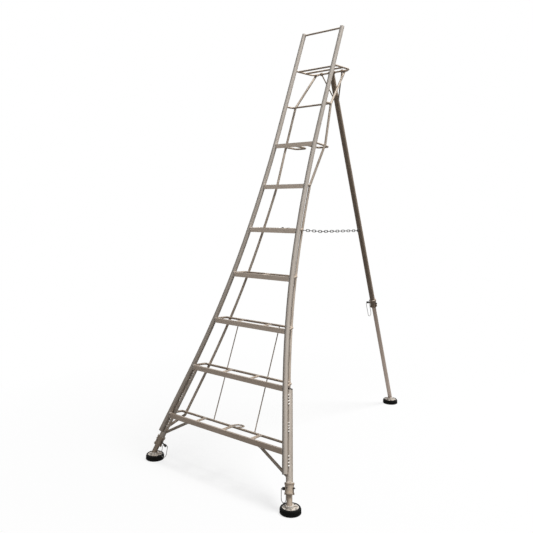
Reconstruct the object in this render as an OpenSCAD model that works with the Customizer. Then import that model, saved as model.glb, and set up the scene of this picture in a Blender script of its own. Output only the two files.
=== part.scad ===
// Orchard tripod ladder: flared tube stiles with plated treads, a small top platform,
// a folding rear leg held by a chain, and three pinned telescopic feet.
// X runs along the treads, Y from the climber towards the rear leg, Z up.
// The origin lies on the floor, midway between the front feet and the rear foot.

/* [Steps] */
// Lean of the climbing side from the vertical, in degrees
lean = 22; // [16:0.5:25]
// Spacing of the steps, measured along the lean
step_pitch = 300; // [280:1:310]
// Distance from the floor to the first step, along the lean
first_step = 283; // [270:1:310]

/* [Stiles] */
// Diameter of the stile tube
stile_d = 30; // [28:0.5:34]
// Wall of the stile tube
stile_wall = 2; // [1.5:0.1:3]
// Distance between the stile axes at the top
top_width = 328; // [300:1:380]
// Top end of the stiles, along the lean
stile_top = 2991; // [2985:1:3030]
// Bottom end of the stiles, along the lean
stile_foot = 184; // [176:1:195]
// Height along the lean where the stiles start to flare
flare_start = 2219; // [2130:1:2280]
// Height along the lean where the flare gets tighter
flare_change = 1399; // [1280:1:1530]
// Height along the lean where the stiles run straight again
flare_end = 544; // [520:1:580]
// Radius of the gentle upper flare
gentle_radius = 7750; // [7000:50:9000]
// Radius of the tighter lower flare
tight_radius = 4980; // [4600:20:5400]

/* [Treads] */
// Height of a tread's front plate
nose_h = 28; // [24:0.5:32]
// Thickness of a tread's front plate
nose_t = 2.5; // [2:0.1:4]
// Depth of the lip along the top of the front plate
nose_top_lip = 12; // [9:0.5:14]
// Depth of the lip along the bottom of the front plate
nose_bottom_lip = 8; // [6:0.5:12]
// How far the front plate's face lies ahead of the stile axes
nose_ahead = 7; // [4:0.5:9]
// Diameter of the bent round bar behind each front plate
bar_d = 13; // [11:0.5:15]
// Distance of the round bar behind the stile axes
tread_depth = 81; // [70:1:95]
// How far each end arm of the round bar runs inward
arm_in = 22; // [16:1:28]
// Bend radius of the round bar
bar_bend = 15; // [12:1:20]
// Depth of the standing tread, the highest one with a front plate
deep_depth = 200; // [180:1:205]
// Bend radius of the standing tread's two bars
deep_bend = 24; // [18:1:28]
// How far the standing tread's rear bars lie below its front
deep_drop = 15; // [5:1:20]
// Distance of each inner arm of the standing tread from the middle
notch_x = 47; // [40:1:55]
// Width of a flat strap across a tread
strap_w = 25; // [18:1:32]
// Thickness of a flat strap across a tread
strap_t = 3; // [2:0.5:5]

/* [Platform] */
// Distance of the platform's rear bar behind the stile axes
platform_depth = 222; // [205:1:235]
// Bend radius of the platform hoop
platform_bend = 36; // [28:1:45]
// Distance of the platform's front cross bar behind the stile axes
platform_front = 43; // [35:1:55]
// Distance of the platform's middle cross bar behind the stile axes
platform_middle = 126; // [110:1:140]

/* [Rear rails] */
// Diameter of the rear rails
rail_d = 16; // [14:0.5:19]
// Wall of the rear rails
rail_wall = 1.5; // [1.2:0.1:2]
// How far the rear rails lie inside the stiles
rail_in = 38; // [34:1:44]
// Distance behind the stile axes at which a rail passes the standing tread
rail_deep = 120; // [110:1:135]
// Diameter of the tie rods between the lowest three treads
tie_d = 6.5; // [5:0.5:9]
// Distance of each tie rod from the middle
tie_x = 160; // [145:1:175]
// Diameter of the braces under the lowest tread
brace_d = 16; // [12:0.5:18]
// Distance of each brace's upper end from the middle
brace_x = 262; // [240:1:285]

/* [Front legs] */
// Diameter of the sleeve welded behind each stile
sleeve_d = 36; // [34:0.5:40]
// Wall of the sleeve
sleeve_wall = 2; // [1.5:0.1:2.4]
// Top of the sleeve, along the lean
sleeve_top = 584; // [570:1:600]
// Bottom of the sleeve, along the lean
sleeve_foot = 137; // [130:1:150]
// How far the sleeve axis lies outside the stile axis
sleeve_out = 5; // [0:0.5:8]
// Diameter of a sliding leg tube
leg_d = 30; // [28:0.5:31]
// Wall of a sliding leg tube
leg_wall = 2; // [1.5:0.1:3]
// Length of the collar around the sleeve's end
collar_l = 54; // [50:1:62]
// Wall of the collar around the sleeve
collar_wall = 5; // [4:0.5:7]
// Spacing of the pin holes in a sliding leg
hole_pitch = 50; // [40:1:60]

/* [Rear leg] */
// Lean of the rear leg from the vertical, in degrees
rear_lean = 17.2; // [15:0.1:19]
// Diameter of the rear leg's upper tube
rear_d = 38; // [36:0.5:42]
// Wall of the rear leg's upper tube
rear_wall = 2; // [1.5:0.1:3]
// Distance from the hinge to the lower end of the upper tube
rear_tube_l = 1765; // [1700:5:1800]
// Diameter of the two stays at the hinge
stay_d = 9; // [7:0.5:11]
// Distance of each stay's eye from the middle
stay_x = 88; // [76:1:98]
// Distance below the hinge at which the stays meet the leg
stay_drop = 245; // [200:1:270]

/* [Pins] */
// Diameter of a locking pin
pin_d = 8; // [6:0.5:9]
// Length of the left pin that stands out of its collar at the head
left_stub = 34; // [26:1:40]
// Length of the right pin that stands out of its collar at the head
right_stub = 10; // [9:1:20]
// Length of the rear pin that stands out of its collar at the head
rear_stub = 22; // [18:1:30]
// Height of the pin above the collar's lower edge
pin_rise = 28; // [22:1:30]
// Diameter of the bail wire
bail_d = 3.4; // [3:0.1:4]
// Width of the wire bail
bail_w = 42; // [36:1:50]
// Length of the wire bail
bail_l = 64; // [56:1:68]
// Length of the rear leg's wire bail
rear_bail_l = 110; // [95:1:118]

/* [Feet] */
// Diameter of the rubber pad at the floor
pad_d = 110; // [100:1:120]
// Height of the rubber pad
pad_h = 30; // [26:1:34]
// Diameter of the metal foot plate
plate_d = 86; // [78:1:92]
// Thickness of the metal foot plate
plate_t = 4; // [3:0.5:6]
// Height of the leg tube's cut end above the floor
foot_seat = 40; // [36:1:46]
// How far each front foot is set back from its leg's axis
foot_back = 8; // [0:0.5:12]

/* [Chain] */
// Links in the front part of the chain, an even number
front_links = 12; // [10:2:16]
// Links in the rear part of the chain, an odd number
rear_links = 13; // [11:2:17]
// Diameter of the chain wire
chain_d = 4.5; // [3.5:0.5:5]
// Inner width of a link
link_w = 9.5; // [8:0.5:11]
// Distance from the hinge to the chain's eye on the rear leg
chain_reach = 1186; // [1150:2:1220]
// Slack of the chain over a straight line, as a share of the line
slack_share = 0.0004; // [0.0002:0.0001:0.001]

/* [Hidden] */
$fn = 64;
// Gap left at a welded or glued seam between curved faces
weld_gap = 0.05;
// Radial clearance of a turning or pinned fit
turn_gap = 0.08;
// Radial clearance of a sliding tube
slide_gap = 0.3;
// Overrun of every cut
over = 2;
// Length of a cut that clears a tube's end
cope_l = 160;
// Block that cuts everything below a height
cut_block = 400;
// A bend is this much slimmer than the straight tube that laps over its end
bend_slim = 0.05;
// Length of that lap
bend_lap = 0.3;
// Turn of each brace about its own axis, so that its seam stays clear of the cut ends
brace_spin = 37;
// Facets round the long flares and round their tube
flare_fn = 1440;
tube_fn = 48;

stile_r = stile_d / 2;
bar_r = bar_d / 2;
rail_r = rail_d / 2;
tie_r = tie_d / 2;
brace_r = brace_d / 2;
sleeve_r = sleeve_d / 2;
leg_r = leg_d / 2;
rear_r = rear_d / 2;
stay_r = stay_d / 2;
pin_r = pin_d / 2;
bail_r = bail_d / 2;
chain_r = chain_d / 2;

// Treads with a front plate, then the bare rung, the platform and the handrail
plated = 7;
rung_level = plated + 1;
platform_level = plated + 2;
rail_level = plated + 3;
chain_level = plated - 2;
tie_level = plated - 4;

// Straps on each tread below the standing one, and their spacing where there is more than one
strap_counts = [3, 2, 2, 1, 1, 1];
strap_step = 215;

// Rung and platform hoop details
rung_arm_in = 3;
rung_bend = 11;
rung_rail_in = 14;
platform_arm_in = 5;
rail_top_in = 40;
rail_top_depth = 205;
rail_clear = 2.2;
rail_drop = 22;
brace_low = 14;
paddle_w = 28;
paddle_l = 34;
paddle_t = 5;

// Stile plugs
cap_t = 3;
cap_spigot = 16;

// Leg catch behind the lowest tread
catch_d = 8;
catch_r = catch_d / 2;
catch_w = 48;
catch_depth = 88;
catch_drop = 16;

// Collar rims, counterbores and the guide bushes at the top of the sliding legs
rim_h = 9;
rim_out = 2.5;
seat_l = 16;
bush_l = 30;
leg_inset = 60;
front_holes = 6;
rear_holes = 9;
rear_inside = 760;
spur_l = 16;
spur_w = 14;
spur_t = 5;

// Pin head and the tip that stands out on the far side
head_d = 14;
head_l = 13;
pin_tip = 7;
bail_corner = 7;
// Sway of the left bail away from a straight hang
bail_sway = 10;

// Hinge barrel, stay eyes and the plug in the rear tube
barrel_d = 24;
barrel_l = 52;
eye_l = 11;
plug_l = 44;
tube_drop = 12;

// Foot plate hub, ribs and the rubber's lip
hub_d = 46;
hub_top_d = 40;
rib_t = 4;
rib_h = 9;
lip_h = 6;
pad_taper = 3;
pad_round = 3;

// Chain eye plates
eye_t = 4;
eye_hole_d = 11;
eye_rim = 5;
link_gap = 0.3;

// Flare of the stiles, in the leaning plane, as angles from straight up
gentle_turn = asin((flare_start - flare_change) / gentle_radius);
gentle_end_x = top_width / 2 + gentle_radius * (1 - cos(gentle_turn));
tight_x = gentle_end_x + tight_radius * cos(gentle_turn);
tight_s = flare_change + tight_radius * sin(gentle_turn);
foot_turn = asin((tight_s - flare_end) / tight_radius);
flare_end_x = tight_x - tight_radius * cos(foot_turn);

function stile_turn(s) =
    s >= flare_start ? 0 :
    s >= flare_change ? asin((flare_start - s) / gentle_radius) :
    s >= flare_end ? asin((tight_s - s) / tight_radius) : foot_turn;

function stile_x(s) =
    s >= flare_start ? top_width / 2 :
    s >= flare_change ? top_width / 2 + gentle_radius * (1 - cos(stile_turn(s))) :
    s >= flare_end ? tight_x - tight_radius * cos(stile_turn(s)) :
    flare_end_x + (flare_end - s) * tan(foot_turn);

// Angle that carries a bend on by one lap
function lap_turn(radius) = atan(bend_lap / radius);

function level_s(i) = first_step + (i - 1) * step_pitch;
function level_z(i) = level_s(i) * cos(lean);

// The round bars lie flush with the top of the front plates
function bar_z(i) = level_z(i) + nose_h / 2 - bar_r;

// Sliding leg axis, in the leaning plane: it touches the stile from behind
leg_n = sqrt(pow(stile_r + sleeve_r + weld_gap, 2) - pow(sleeve_out, 2));
foot_s = (foot_seat + leg_n * sin(lean)) / cos(lean);
foot_x = stile_x(0) + sleeve_out / cos(foot_turn) - foot_s * tan(foot_turn);
leg_end_y = foot_s * sin(lean) + leg_n * cos(lean);
front_foot_y = leg_end_y + foot_back;

// Hinge of the rear leg and its foot
hinge_z = level_z(platform_level);
hinge_back = hinge_z * tan(lean) + platform_depth;
rear_foot_y = hinge_back + (hinge_z - foot_seat) * tan(rear_lean);
rear_reach = (hinge_z - foot_seat) / cos(rear_lean);

origin_shift = -(front_foot_y + rear_foot_y) / 2;
hinge_y = hinge_back + origin_shift;

// Rear rails lie just behind the round bars
bar_n = tread_depth * cos(lean);
rail_n = bar_n + bar_r + rail_r + weld_gap;
tie_n = bar_n + bar_r + tie_r + weld_gap;

// Collar sizes: the sleeve sits in the upper counterbore
collar_r = sleeve_r + collar_wall;
rear_collar_r = rear_r + collar_wall;
front_collar_t = sleeve_foot / cos(foot_turn) + seat_l - collar_l;
front_pin_t = front_collar_t + pin_rise;
front_leg_top_t = sleeve_top / cos(foot_turn) - leg_inset;
rear_collar_z = -rear_tube_l + seat_l - collar_l;
rear_pin_z = rear_collar_z + pin_rise;
rear_leg_top_z = rear_pin_z + rear_inside;

// Chain: eyes on the fifth tread's bar and on the rear leg, with a slight sag between
eye_r = eye_hole_d / 2;
eye_out = eye_r + eye_rim;
front_eye = [0, bar_z(chain_level) * tan(lean) + tread_depth + bar_r + eye_out + origin_shift,
    bar_z(chain_level)];
rear_eye_y = -rear_r - eye_out;
rear_eye = [0, hinge_y + chain_reach * sin(rear_lean) + rear_eye_y * cos(rear_lean),
    hinge_z - chain_reach * cos(rear_lean) + rear_eye_y * sin(rear_lean)];
chain_line = rear_eye - front_eye;
chain_start = eye_r - link_gap;
chain_span = norm(chain_line) - 2 * chain_start;
link_pitch = chain_span * (1 + slack_share) / (front_links + rear_links);
front_run = front_links * link_pitch + chain_start;
rear_run = rear_links * link_pitch + chain_start;
chain_tilt = atan2(chain_line[2], chain_line[1]);
front_sag = acos((pow(front_run, 2) + pow(norm(chain_line), 2) - pow(rear_run, 2))
    / (2 * front_run * norm(chain_line)));
rear_sag = asin(front_run * sin(front_sag) / rear_run);

// Frames

// The leaning plane: x stays, y runs up the lean, z points forward out of the plane
module lean_frame() {
    translate([0, origin_shift, 0])
        rotate([90 - lean, 0, 0])
            children();
}

// The right-hand sliding leg: z runs up the leg from floor level, y points back
module leg_frame() {
    lean_frame()
        translate([stile_x(0) + sleeve_out / cos(foot_turn), 0, -leg_n])
            rotate([0, 0, foot_turn])
                rotate([-90, 0, 0])
                    children();
}

// The rear leg: origin at the hinge, z runs up the leg
module rear_frame() {
    translate([0, hinge_y, hinge_z])
        rotate([rear_lean, 0, 0])
            children();
}

module on_side(side) {
    if (side > 0)
        children();
    else
        mirror([1, 0, 0])
            children();
}

// Points of the leaning plane and of a level plane, in the model's own frame
function lean_point(x, s, n) =
    [x, s * sin(lean) + n * cos(lean) + origin_shift, s * cos(lean) - n * sin(lean)];

function level_point(x, z, depth) = [x, z * tan(lean) + depth + origin_shift, z];

// Shared shapes

module rod(a, b, r, spin = 0) {
    run = b - a;
    translate(a)
        rotate([0, acos(run[2] / norm(run)), atan2(run[1], run[0])])
            rotate([0, 0, spin])
                cylinder(h = norm(run), r = r);
}

module tube(r, wall, z0, z1) {
    translate([0, 0, z0])
        difference() {
            cylinder(h = z1 - z0, r = r);
            translate([0, 0, -over])
                cylinder(h = z1 - z0 + 2 * over, r = r - wall);
        }
}

// Part of a stile's curve, between two heights along the lean, as a solid of radius r
module flare_path(r, s0, s1) {
    low_end = min(s1, flare_end);
    tight_top = min(s1, flare_change);
    tight_low = max(s0, flare_end);
    gentle_top = min(s1, flare_start);
    gentle_low = max(s0, flare_change);
    if (s0 < flare_end)
        translate([stile_x(low_end), low_end, 0])
            rotate([0, 0, foot_turn])
                rotate([90, 0, 0])
                    translate([0, 0, -bend_lap])
                        cylinder(h = (low_end - s0) / cos(foot_turn) + bend_lap, r = r, $fn = tube_fn);
    if (tight_low < tight_top)
        translate([tight_x, tight_s, 0])
            rotate([0, 0, 180 + stile_turn(tight_top) - lap_turn(tight_radius)])
                rotate_extrude(angle = stile_turn(tight_low) - stile_turn(tight_top)
                    + lap_turn(tight_radius), $fn = flare_fn)
                    translate([tight_radius, 0])
                        circle(r = r - bend_slim, $fn = tube_fn);
    if (gentle_low < gentle_top)
        translate([top_width / 2 + gentle_radius, flare_start, 0])
            rotate([0, 0, 180 + stile_turn(gentle_top)])
                rotate_extrude(angle = stile_turn(gentle_low) - stile_turn(gentle_top), $fn = flare_fn)
                    translate([gentle_radius, 0])
                        circle(r = r - 2 * bend_slim, $fn = tube_fn);
    if (s1 > flare_start)
        translate([top_width / 2, flare_start - bend_lap, 0])
            rotate([-90, 0, 0])
                cylinder(h = s1 - flare_start + bend_lap, r = r, $fn = tube_fn);
}

// Straight cut that follows both stiles past a given height along the lean
module stile_cuts(s) {
    for (side = [-1, 1])
        on_side(side)
            lean_frame()
                translate([stile_x(s), s, 0])
                    rotate([0, 0, stile_turn(s)])
                        rotate([90, 0, 0])
                            cylinder(h = cope_l, r = stile_r + weld_gap, center = true);
}

// Round bar bent to a hoop behind the stiles, at one height, welded to them at both ends
module hoop_bar(z, depth, inward, bend) {
    start = level_point(stile_x(z / cos(lean)), z, 0);
    corner = level_point(start[0] - inward, z, depth);
    way = (corner - start) / norm(corner - start);
    turn = acos(-way[0]);
    trim = bend * tan(turn / 2);
    bend_start = corner - way * trim;
    bend_end = corner - [trim, 0, 0];
    // Low bars start at the sleeve, which lies behind the stile
    sleeved = z < sleeve_top * cos(lean) - sleeve_d;
    skip = sleeved ? leg_n / cos(lean) / way[1] : 0;
    difference() {
        union() {
            for (side = [-1, 1])
                on_side(side) {
                    rod(start + way * skip, bend_start + way * bend_lap, bar_r);
                    translate(bend_start + [-way[1], way[0], 0] * bend)
                        rotate([0, 0, atan2(-way[0], way[1])])
                            rotate_extrude(angle = turn)
                                translate([bend, 0])
                                    circle(r = bar_r - bend_slim);
                }
            translate(bend_end + [bend_lap, 0, 0])
                rotate([0, -90, 0])
                    cylinder(h = 2 * (bend_end[0] + bend_lap), r = bar_r);
        }
        stile_cuts(z / cos(lean));
        if (sleeved)
            for (side = [-1, 1])
                on_side(side)
                    leg_frame()
                        cylinder(h = sleeve_top, r = sleeve_r + weld_gap);
    }
}

module below(z) {
    translate([-cut_block, -cut_block, z - 2 * cut_block])
        cube([2 * cut_block, 2 * cut_block, 2 * cut_block]);
}

// Stiles and bars

module stile(side) {
    color("silver")
        on_side(side)
            lean_frame()
                difference() {
                    flare_path(stile_r, stile_foot, stile_top);
                    flare_path(stile_r - stile_wall, stile_foot - over, stile_top + over);
                }
}

module stile_caps() {
    color("dimgray")
        for (side = [-1, 1])
            on_side(side)
                lean_frame()
                    translate([top_width / 2, stile_top, 0])
                        rotate([-90, 0, 0]) {
                            cylinder(h = cap_t, r = stile_r);
                            translate([0, 0, -cap_spigot])
                                cylinder(h = cap_spigot, r = stile_r - stile_wall - weld_gap);
                        }
}

module handrail() {
    z = level_z(rail_level);
    half = stile_x(level_s(rail_level));
    color("silver")
        difference() {
            rod(level_point(-half, z, 0), level_point(half, z, 0), bar_r);
            stile_cuts(level_s(rail_level));
        }
}

module platform_hoop() {
    color("silver")
        hoop_bar(hinge_z, platform_depth, platform_arm_in, platform_bend);
}

// Cross bars of the platform, coped onto the hoop's arms
module platform_bars() {
    start = level_point(top_width / 2, hinge_z, 0);
    corner = level_point(top_width / 2 - platform_arm_in, hinge_z, platform_depth);
    color("silver")
        for (depth = [platform_front, platform_middle]) {
            half = top_width / 2 - platform_arm_in * depth / platform_depth;
            difference() {
                rod(level_point(-half, hinge_z, depth), level_point(half, hinge_z, depth), bar_r);
                for (side = [-1, 1])
                    on_side(side)
                        rod(start, corner, bar_r + weld_gap);
            }
        }
}

module top_rung() {
    color("silver")
        hoop_bar(bar_z(rung_level), tread_depth, rung_arm_in, rung_bend);
}

// Front plate of a tread: a channel with a deep top lip, coped onto the stiles
module tread_nose(i) {
    half = stile_x(level_s(i));
    profile = [[0, 0], [nose_bottom_lip, 0], [nose_bottom_lip, nose_t], [nose_t, nose_t],
        [nose_t, nose_h - nose_t], [nose_top_lip, nose_h - nose_t], [nose_top_lip, nose_h],
        [0, nose_h]];
    color("lightgray")
        difference() {
            translate(level_point(-half, level_z(i), -nose_ahead) - [0, 0, nose_h / 2])
                rotate([90, 0, 90])
                    linear_extrude(2 * half)
                        polygon(profile);
            stile_cuts(level_s(i));
        }
}

module tread_bar(i) {
    color("silver")
        hoop_bar(bar_z(i), tread_depth, arm_in, bar_bend);
}

// The standing tread has a bent bar on each side, with room for the folded rear leg between them
module deep_bars() {
    s = bar_z(plated) / cos(lean);
    start = [stile_x(s), 0, 0];
    corner = [stile_x(s) - deep_in, deep_depth, 0];
    way = (corner - start) / norm(corner - start);
    turn = acos(-way[0]);
    trim = deep_bend * tan(turn / 2);
    bend_start = corner - way * trim;
    tilt = atan(deep_drop / deep_depth);
    color("silver")
        for (side = [-1, 1])
            on_side(side)
                difference() {
                    translate(level_point(0, bar_z(plated), 0))
                        rotate([-tilt, 0, 0]) {
                            rod(start, bend_start + way * bend_lap, bar_r, brace_spin);
                            translate(bend_start + [-way[1], way[0], 0] * deep_bend)
                                rotate([0, 0, atan2(-way[0], way[1])])
                                    rotate_extrude(angle = turn)
                                        translate([deep_bend, 0])
                                            circle(r = bar_r - bend_slim);
                            rod(corner - [trim - bend_lap, 0, 0],
                                [notch_x + deep_bend - bend_lap, deep_depth, 0], bar_r);
                            translate([notch_x + deep_bend, deep_depth - deep_bend, 0])
                                rotate([0, 0, 90])
                                    rotate_extrude(angle = 90)
                                        translate([deep_bend, 0])
                                            circle(r = bar_r - bend_slim);
                            rod([notch_x, deep_depth - deep_bend + bend_lap, 0],
                                [notch_x, nose_top_lip - nose_ahead + bar_d * sin(tilt), 0], bar_r);
                        }
                    stile_cuts(s);
                }
}

// Flat straps from under the top lip to the round bar
module tread_straps() {
    color("lightgray")
        for (i = [1 : plated - 1]) {
            count = strap_counts[i - 1];
            top = level_z(i) + nose_h / 2 - nose_t;
            back = level_z(i) * tan(lean) + origin_shift - nose_ahead + nose_t;
            bar_at = level_point(0, bar_z(i), tread_depth);
            for (k = [0 : count - 1])
                difference() {
                    translate([(k - (count - 1) / 2) * strap_step - strap_w / 2, back, top - strap_t])
                        cube([strap_w, bar_at[1] - back, strap_t]);
                    translate([-cut_block, bar_at[1], bar_at[2]])
                        rotate([0, 90, 0])
                            cylinder(h = 2 * cut_block, r = bar_r + weld_gap);
                }
        }
}

// Rear rails

// Where a rail passes the round bar of a tread, along the lean
function rail_s(i) = (bar_z(i) + rail_n * sin(lean)) / cos(lean);

// The rail keeps outside the standing tread's arm
deep_in = arm_in + bar_r;
deep_arm_x = stile_x(bar_z(plated) / cos(lean)) - deep_in * rail_deep / deep_depth;
rail_deep_x = deep_arm_x + (bar_r + rail_r + rail_clear) / cos(atan(deep_in / deep_depth));

// The rail runs on past the lowest bar before it bends forward
rail_low = rail_s(1) - rail_drop;

rail_points = [
    lean_point(stile_x(rail_low) - rail_in, rail_low, rail_n),
    lean_point(stile_x(rail_s(plated - 1)) - rail_in, rail_s(plated - 1), rail_n),
    level_point(rail_deep_x, bar_z(plated), rail_deep),
    level_point(top_width / 2 - rung_rail_in, bar_z(rung_level), rail_n / cos(lean)),
    level_point(top_width / 2 - rail_top_in, hinge_z - bar_r - paddle_t, rail_top_depth)];

// The rail's foot runs forward to the sleeve behind the stile
rail_foot = lean_point(stile_x(stile_foot) + sleeve_out, stile_foot + rail_d, leg_n);

module rail_run(r, foot) {
    lean_frame()
        translate([-rail_in, 0, -rail_n])
            flare_path(r, rail_low, rail_s(plated - 1));
    for (k = [1 : 3])
        rod(rail_points[k], rail_points[k + 1], r);
    for (k = [0 : 3])
        translate(rail_points[k])
            sphere(r = r + bend_slim);
    rod(rail_points[0], foot, r);
}

module rear_rail(side) {
    color("silver")
        on_side(side)
            difference() {
                union() {
                    rail_run(rail_r, rail_foot);
                    translate(rail_points[4])
                        translate([-paddle_w / 2, -paddle_l / 2, 0])
                            cube([paddle_w, paddle_l, paddle_t - weld_gap]);
                }
                rail_run(rail_r - rail_wall, rail_foot);
                leg_frame()
                    cylinder(h = cut_block, r = sleeve_r + weld_gap);
            }
}

// Straight tie rods behind the lowest three round bars
module tie_rods() {
    low = (bar_z(1) + bar_n * sin(lean)) / cos(lean) - tie_d;
    high = (bar_z(tie_level) + bar_n * sin(lean)) / cos(lean) + tie_d;
    color("silver")
        for (side = [-1, 1])
            rod(lean_point(side * tie_x, low, tie_n), lean_point(side * tie_x, high, tie_n), tie_r);
}

// Brace from under the lowest front plate to the sleeve, past the stile's end
module foot_brace(side) {
    bottom = level_z(1) - nose_h / 2;
    foot_at = stile_foot - brace_low;
    color("silver")
        on_side(side)
            difference() {
                rod(lean_point(stile_x(foot_at) + sleeve_out, foot_at, leg_n),
                    lean_point(brace_x, level_s(1), 0), brace_r, brace_spin);
                leg_frame()
                    cylinder(h = cut_block, r = sleeve_r + weld_gap);
                translate([0, level_z(1) * tan(lean) + origin_shift - cut_block, bottom])
                    cube([2 * cut_block, 2 * cut_block, 2 * cut_block]);
            }
}

// Open hook behind the lowest tread that the folded rear leg rests against
module leg_catch() {
    bar_at = level_point(0, bar_z(1), tread_depth);
    half = catch_w / 2;
    color("silver")
        difference() {
            translate(bar_at)
                rotate([-atan(catch_drop / catch_depth), 0, 0]) {
                    translate([0, catch_depth - half, 0])
                        rotate_extrude(angle = 180)
                            translate([half, 0])
                                circle(r = catch_r);
                    for (side = [-1, 1])
                        translate([side * half, 0, 0])
                            rotate([-90, 0, 0])
                                cylinder(h = catch_depth - half, r = catch_r);
                }
            translate(bar_at - [catch_w, 0, 0])
                rotate([0, 90, 0])
                    cylinder(h = 2 * catch_w, r = bar_r + weld_gap);
        }
}

// Telescopic front legs

module leg_sleeve(side) {
    color("lightsteelblue")
        on_side(side)
            leg_frame()
                tube(sleeve_r, sleeve_wall, sleeve_foot / cos(foot_turn),
                    sleeve_top / cos(foot_turn));
}

// Collar with two rims; it holds the tube's end, guides the leg and rests on the pin in its slots
module collar_shape(r, seat_r) {
    difference() {
        union() {
            cylinder(h = collar_l, r = r);
            for (z = [0, collar_l - rim_h])
                translate([0, 0, z])
                    cylinder(h = rim_h, r = r + rim_out);
        }
        translate([0, 0, -over])
            cylinder(h = collar_l + 2 * over, r = leg_r + slide_gap);
        translate([0, 0, collar_l - seat_l])
            cylinder(h = seat_l + over, r = seat_r + weld_gap);
        translate([0, 0, pin_rise])
            rotate([0, 90, 0])
                cylinder(h = 2 * cope_l, r = pin_r + slide_gap, center = true);
        translate([-cope_l, -pin_r - slide_gap, -over])
            cube([2 * cope_l, pin_d + 2 * slide_gap, pin_rise + over]);
    }
}

module leg_collar(side) {
    color("gray")
        on_side(side)
            leg_frame()
                translate([0, 0, front_collar_t])
                    collar_shape(collar_r, sleeve_r);
}

// Sliding tube with its row of pin holes, open at the top
module slide_tube(bottom, top, first_hole, holes) {
    difference() {
        tube(leg_r, leg_wall, bottom, top);
        for (k = [0 : holes - 1])
            translate([0, 0, first_hole + k * hole_pitch])
                rotate([0, 90, 0])
                    cylinder(h = 2 * leg_d, r = pin_r + turn_gap, center = true);
    }
}

module front_leg(side) {
    color("lightgray")
        on_side(side)
            difference() {
                leg_frame()
                    slide_tube(0, front_leg_top_t, front_pin_t, front_holes);
                translate([foot_x, leg_end_y + origin_shift, 0])
                    below(foot_seat);
            }
}

// Guide ring pressed on the top of a sliding tube
module bush_shape(top, out_r) {
    tube(out_r, out_r - leg_r - weld_gap, top - bush_l, top);
}

module leg_bush(side) {
    color("black")
        on_side(side)
            leg_frame()
                bush_shape(front_leg_top_t, sleeve_r - sleeve_wall - slide_gap);
}

// Feet

// Foot plate with ribs and a hub, which lies set forward where the leg comes down
module foot_plate_at(x, y, hub_y) {
    seat = pad_h - lip_h;
    translate([x, y, seat])
        difference() {
            union() {
                cylinder(h = plate_t, r = plate_d / 2);
                translate([0, hub_y, 0])
                    cylinder(h = foot_seat - seat, d1 = hub_d, d2 = hub_top_d);
                for (turn = [0 : 90 : 270])
                    rotate([0, 0, turn + 45])
                        translate([0, -rib_t / 2, 0])
                            cube([plate_d / 2 - lip_h, rib_t, rib_h]);
            }
            translate([0, hub_y, -over])
                cylinder(h = foot_seat - seat + 2 * over, r = leg_r - leg_wall);
        }
}

module foot_pad_at(x, y) {
    outer = pad_d / 2;
    inner = plate_d / 2 + weld_gap;
    translate([x, y, 0])
        rotate_extrude()
            polygon([[0, 0], [outer - pad_round, 0], [outer, pad_round], [outer - pad_taper, pad_h - pad_round],
                [outer - pad_taper - pad_round, pad_h], [inner, pad_h], [inner, pad_h - lip_h],
                [0, pad_h - lip_h]]);
}

module foot_plate(side) {
    color("gainsboro")
        foot_plate_at(side * foot_x, front_foot_y + origin_shift, -foot_back);
}

module foot_pad(side) {
    color("black")
        foot_pad_at(side * foot_x, front_foot_y + origin_shift);
}

module foot_plate_rear() {
    color("gainsboro")
        foot_plate_at(0, rear_foot_y + origin_shift, 0);
}

module foot_pad_rear() {
    color("black")
        foot_pad_at(0, rear_foot_y + origin_shift);
}

// Locking pins and their wire bails; a pin's head lies on the negative x side

// Place of the bail's cross wire, measured from the tube's axis
function bail_x(r, stub) = -(r + rim_out + stub);

module pin_shape(r, stub) {
    head_x = bail_x(r, stub);
    difference() {
        union() {
            translate([head_x, 0, 0])
                rotate([0, 90, 0])
                    cylinder(h = -head_x + r + rim_out + pin_tip, r = pin_r);
            translate([head_x - head_l / 2, 0, 0])
                rotate([0, 90, 0])
                    cylinder(h = head_l, r = head_d / 2);
        }
        translate([head_x, 0, 0])
            rotate([90, 0, 0])
                cylinder(h = 2 * head_d, r = bail_r + turn_gap, center = true);
    }
}

// Closed wire loop: a cross wire along y, two legs and a round end, hanging along -z
module bail_shape(length) {
    half = bail_w / 2;
    drop = length - half;
    rotate([90, 0, 0])
        cylinder(h = bail_w - 2 * bail_corner, r = bail_r, center = true);
    for (side = [-1, 1])
        translate([0, side * half, -drop])
            cylinder(h = drop - bail_corner, r = bail_r);
    translate([0, half - bail_corner, -bail_corner])
        rotate([90, 0, 90])
            rotate_extrude(angle = 90)
                translate([bail_corner, 0])
                    circle(r = bail_r);
    translate([0, bail_corner - half, -bail_corner])
        rotate([90, 0, 90])
            rotate([0, 0, 90])
                rotate_extrude(angle = 90)
                    translate([bail_corner, 0])
                        circle(r = bail_r);
    translate([0, 0, -drop])
        rotate([90, 0, 90])
            rotate([0, 0, 180])
                rotate_extrude(angle = 180)
                    translate([half, 0])
                        circle(r = bail_r);
}

module lock_pin(side) {
    color("gray")
        on_side(side)
            leg_frame()
                translate([0, 0, front_pin_t])
                    pin_shape(collar_r, side > 0 ? right_stub : left_stub);
}

// The right bail hangs along its leg, the left one stands clear of it
module pin_bail(side) {
    color("gray")
        on_side(side)
            leg_frame()
                translate([bail_x(collar_r, side > 0 ? right_stub : left_stub), 0, front_pin_t])
                    rotate([0, side > 0 ? 0 : foot_turn + bail_sway, 0])
                        bail_shape(bail_l);
}

module lock_pin_rear() {
    color("gray")
        rear_frame()
            translate([0, 0, rear_pin_z])
                pin_shape(rear_collar_r, rear_stub);
}

module pin_bail_rear() {
    color("gray")
        rear_frame()
            translate([bail_x(rear_collar_r, rear_stub), 0, rear_pin_z])
                bail_shape(rear_bail_l);
}

// Rear leg

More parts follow.
